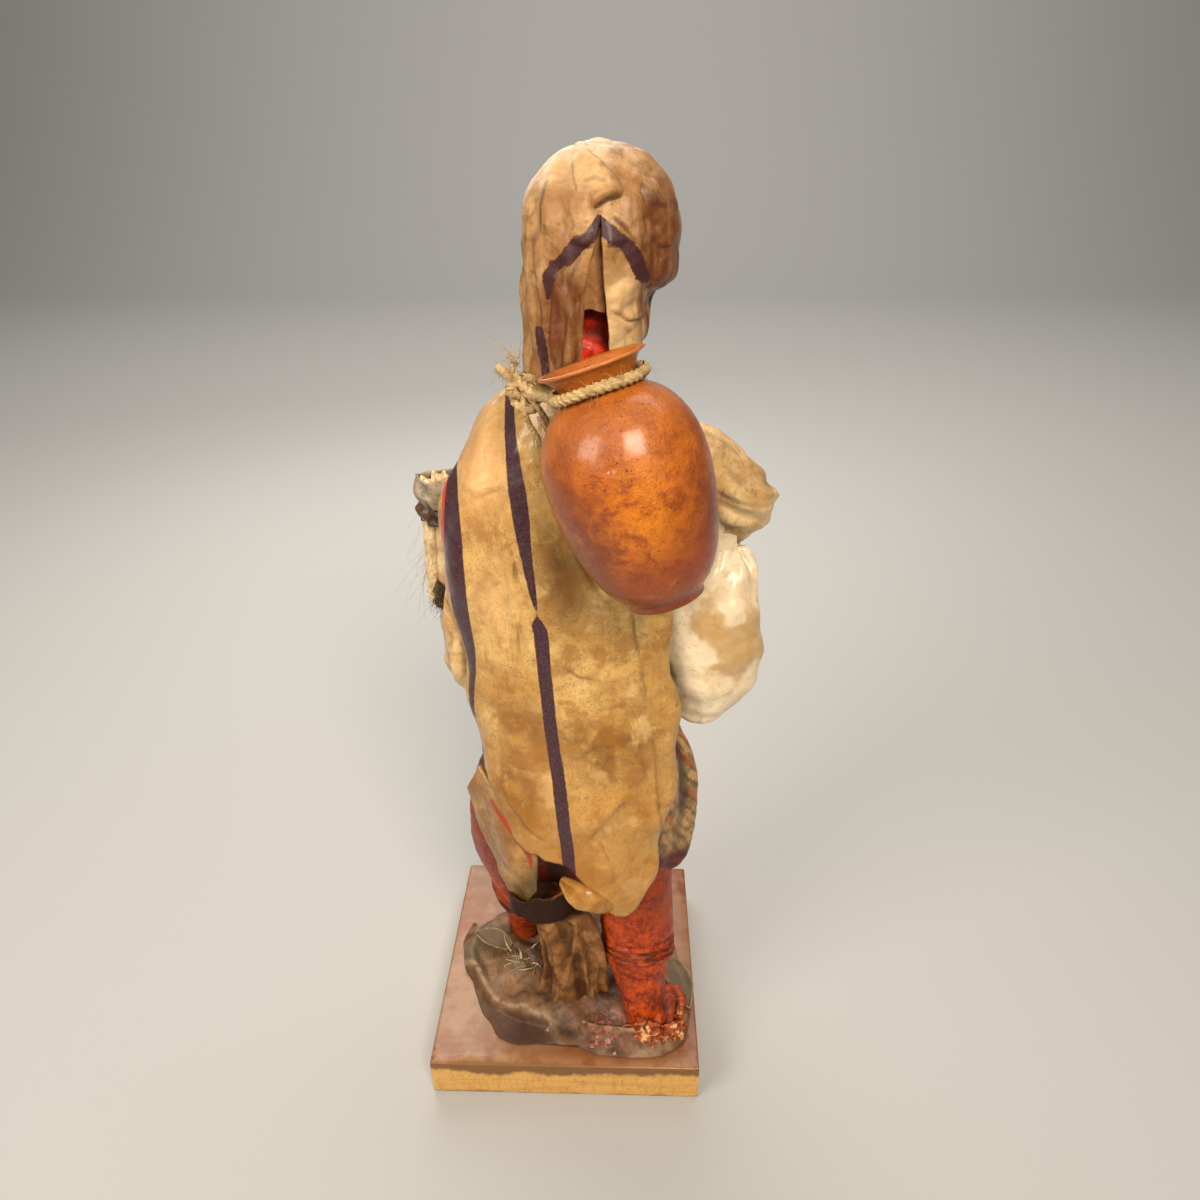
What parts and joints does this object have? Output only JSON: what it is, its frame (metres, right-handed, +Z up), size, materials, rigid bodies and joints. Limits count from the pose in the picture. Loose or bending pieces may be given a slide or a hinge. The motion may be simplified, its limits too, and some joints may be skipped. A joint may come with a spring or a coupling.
{
  "type": "papier-mache figure",
  "caption": "Papier-mache figure of a hooded water carrier in a long cape, with a jug slung on its back, a bag on one arm and a bundle in the other hand, on a square wooden base.",
  "frame": {"origin": "centre of the wooden base's underside, which rests on the table", "axes": "+Z up; the figure faces +Y, so its right hand is towards +X and the jug on its back towards -Y"},
  "size_m": [0.1177, 0.1096, 0.3228],
  "materials": {
    "base_wood": "varnished",
    "jug_clay": "glossy varnish",
    "twine": "dry fibre",
    "red_paper": "varnished",
    "hip_paper": "varnished",
    "drape_paper": "varnished",
    "stump_paper": "varnished",
    "ground_paper": "varnished",
    "skin_paper": "painted and varnished",
    "smock_paper": "varnished",
    "collar_paper": "varnished",
    "hood_paper": "varnished",
    "roll_paper": "dull varnish",
    "fibre": "dry matted fibre",
    "bark": "torn and dry",
    "cuff_paper": "dull varnish",
    "sleeve_paper": "varnished",
    "bag_paper": "glossy varnish",
    "cape_paper": "glossy varnish"
  },
  "bodies": {
    "root": {"wooden_base": "base_wood", "clay_jug": "jug_clay", "jug_cord": "twine", "right_leg": "red_paper", "left_leg": "red_paper", "hip_cloth": "hip_paper", "hip_drape": "drape_paper", "stump": "stump_paper", "paper_ground": "ground_paper", "head": "skin_paper", "smock": "smock_paper", "red_collar": "collar_paper", "hood": "hood_paper", "paper_rolls": "roll_paper", "fibre_pad": "fibre", "bark_band": "bark", "paper_cuff": "cuff_paper", "left_hand": "skin_paper", "right_hand": "skin_paper", "left_sleeve": "sleeve_paper", "right_sleeve": "sleeve_paper", "white_bag": "bag_paper", "cape": "cape_paper"}
  },
  "joints": []
}
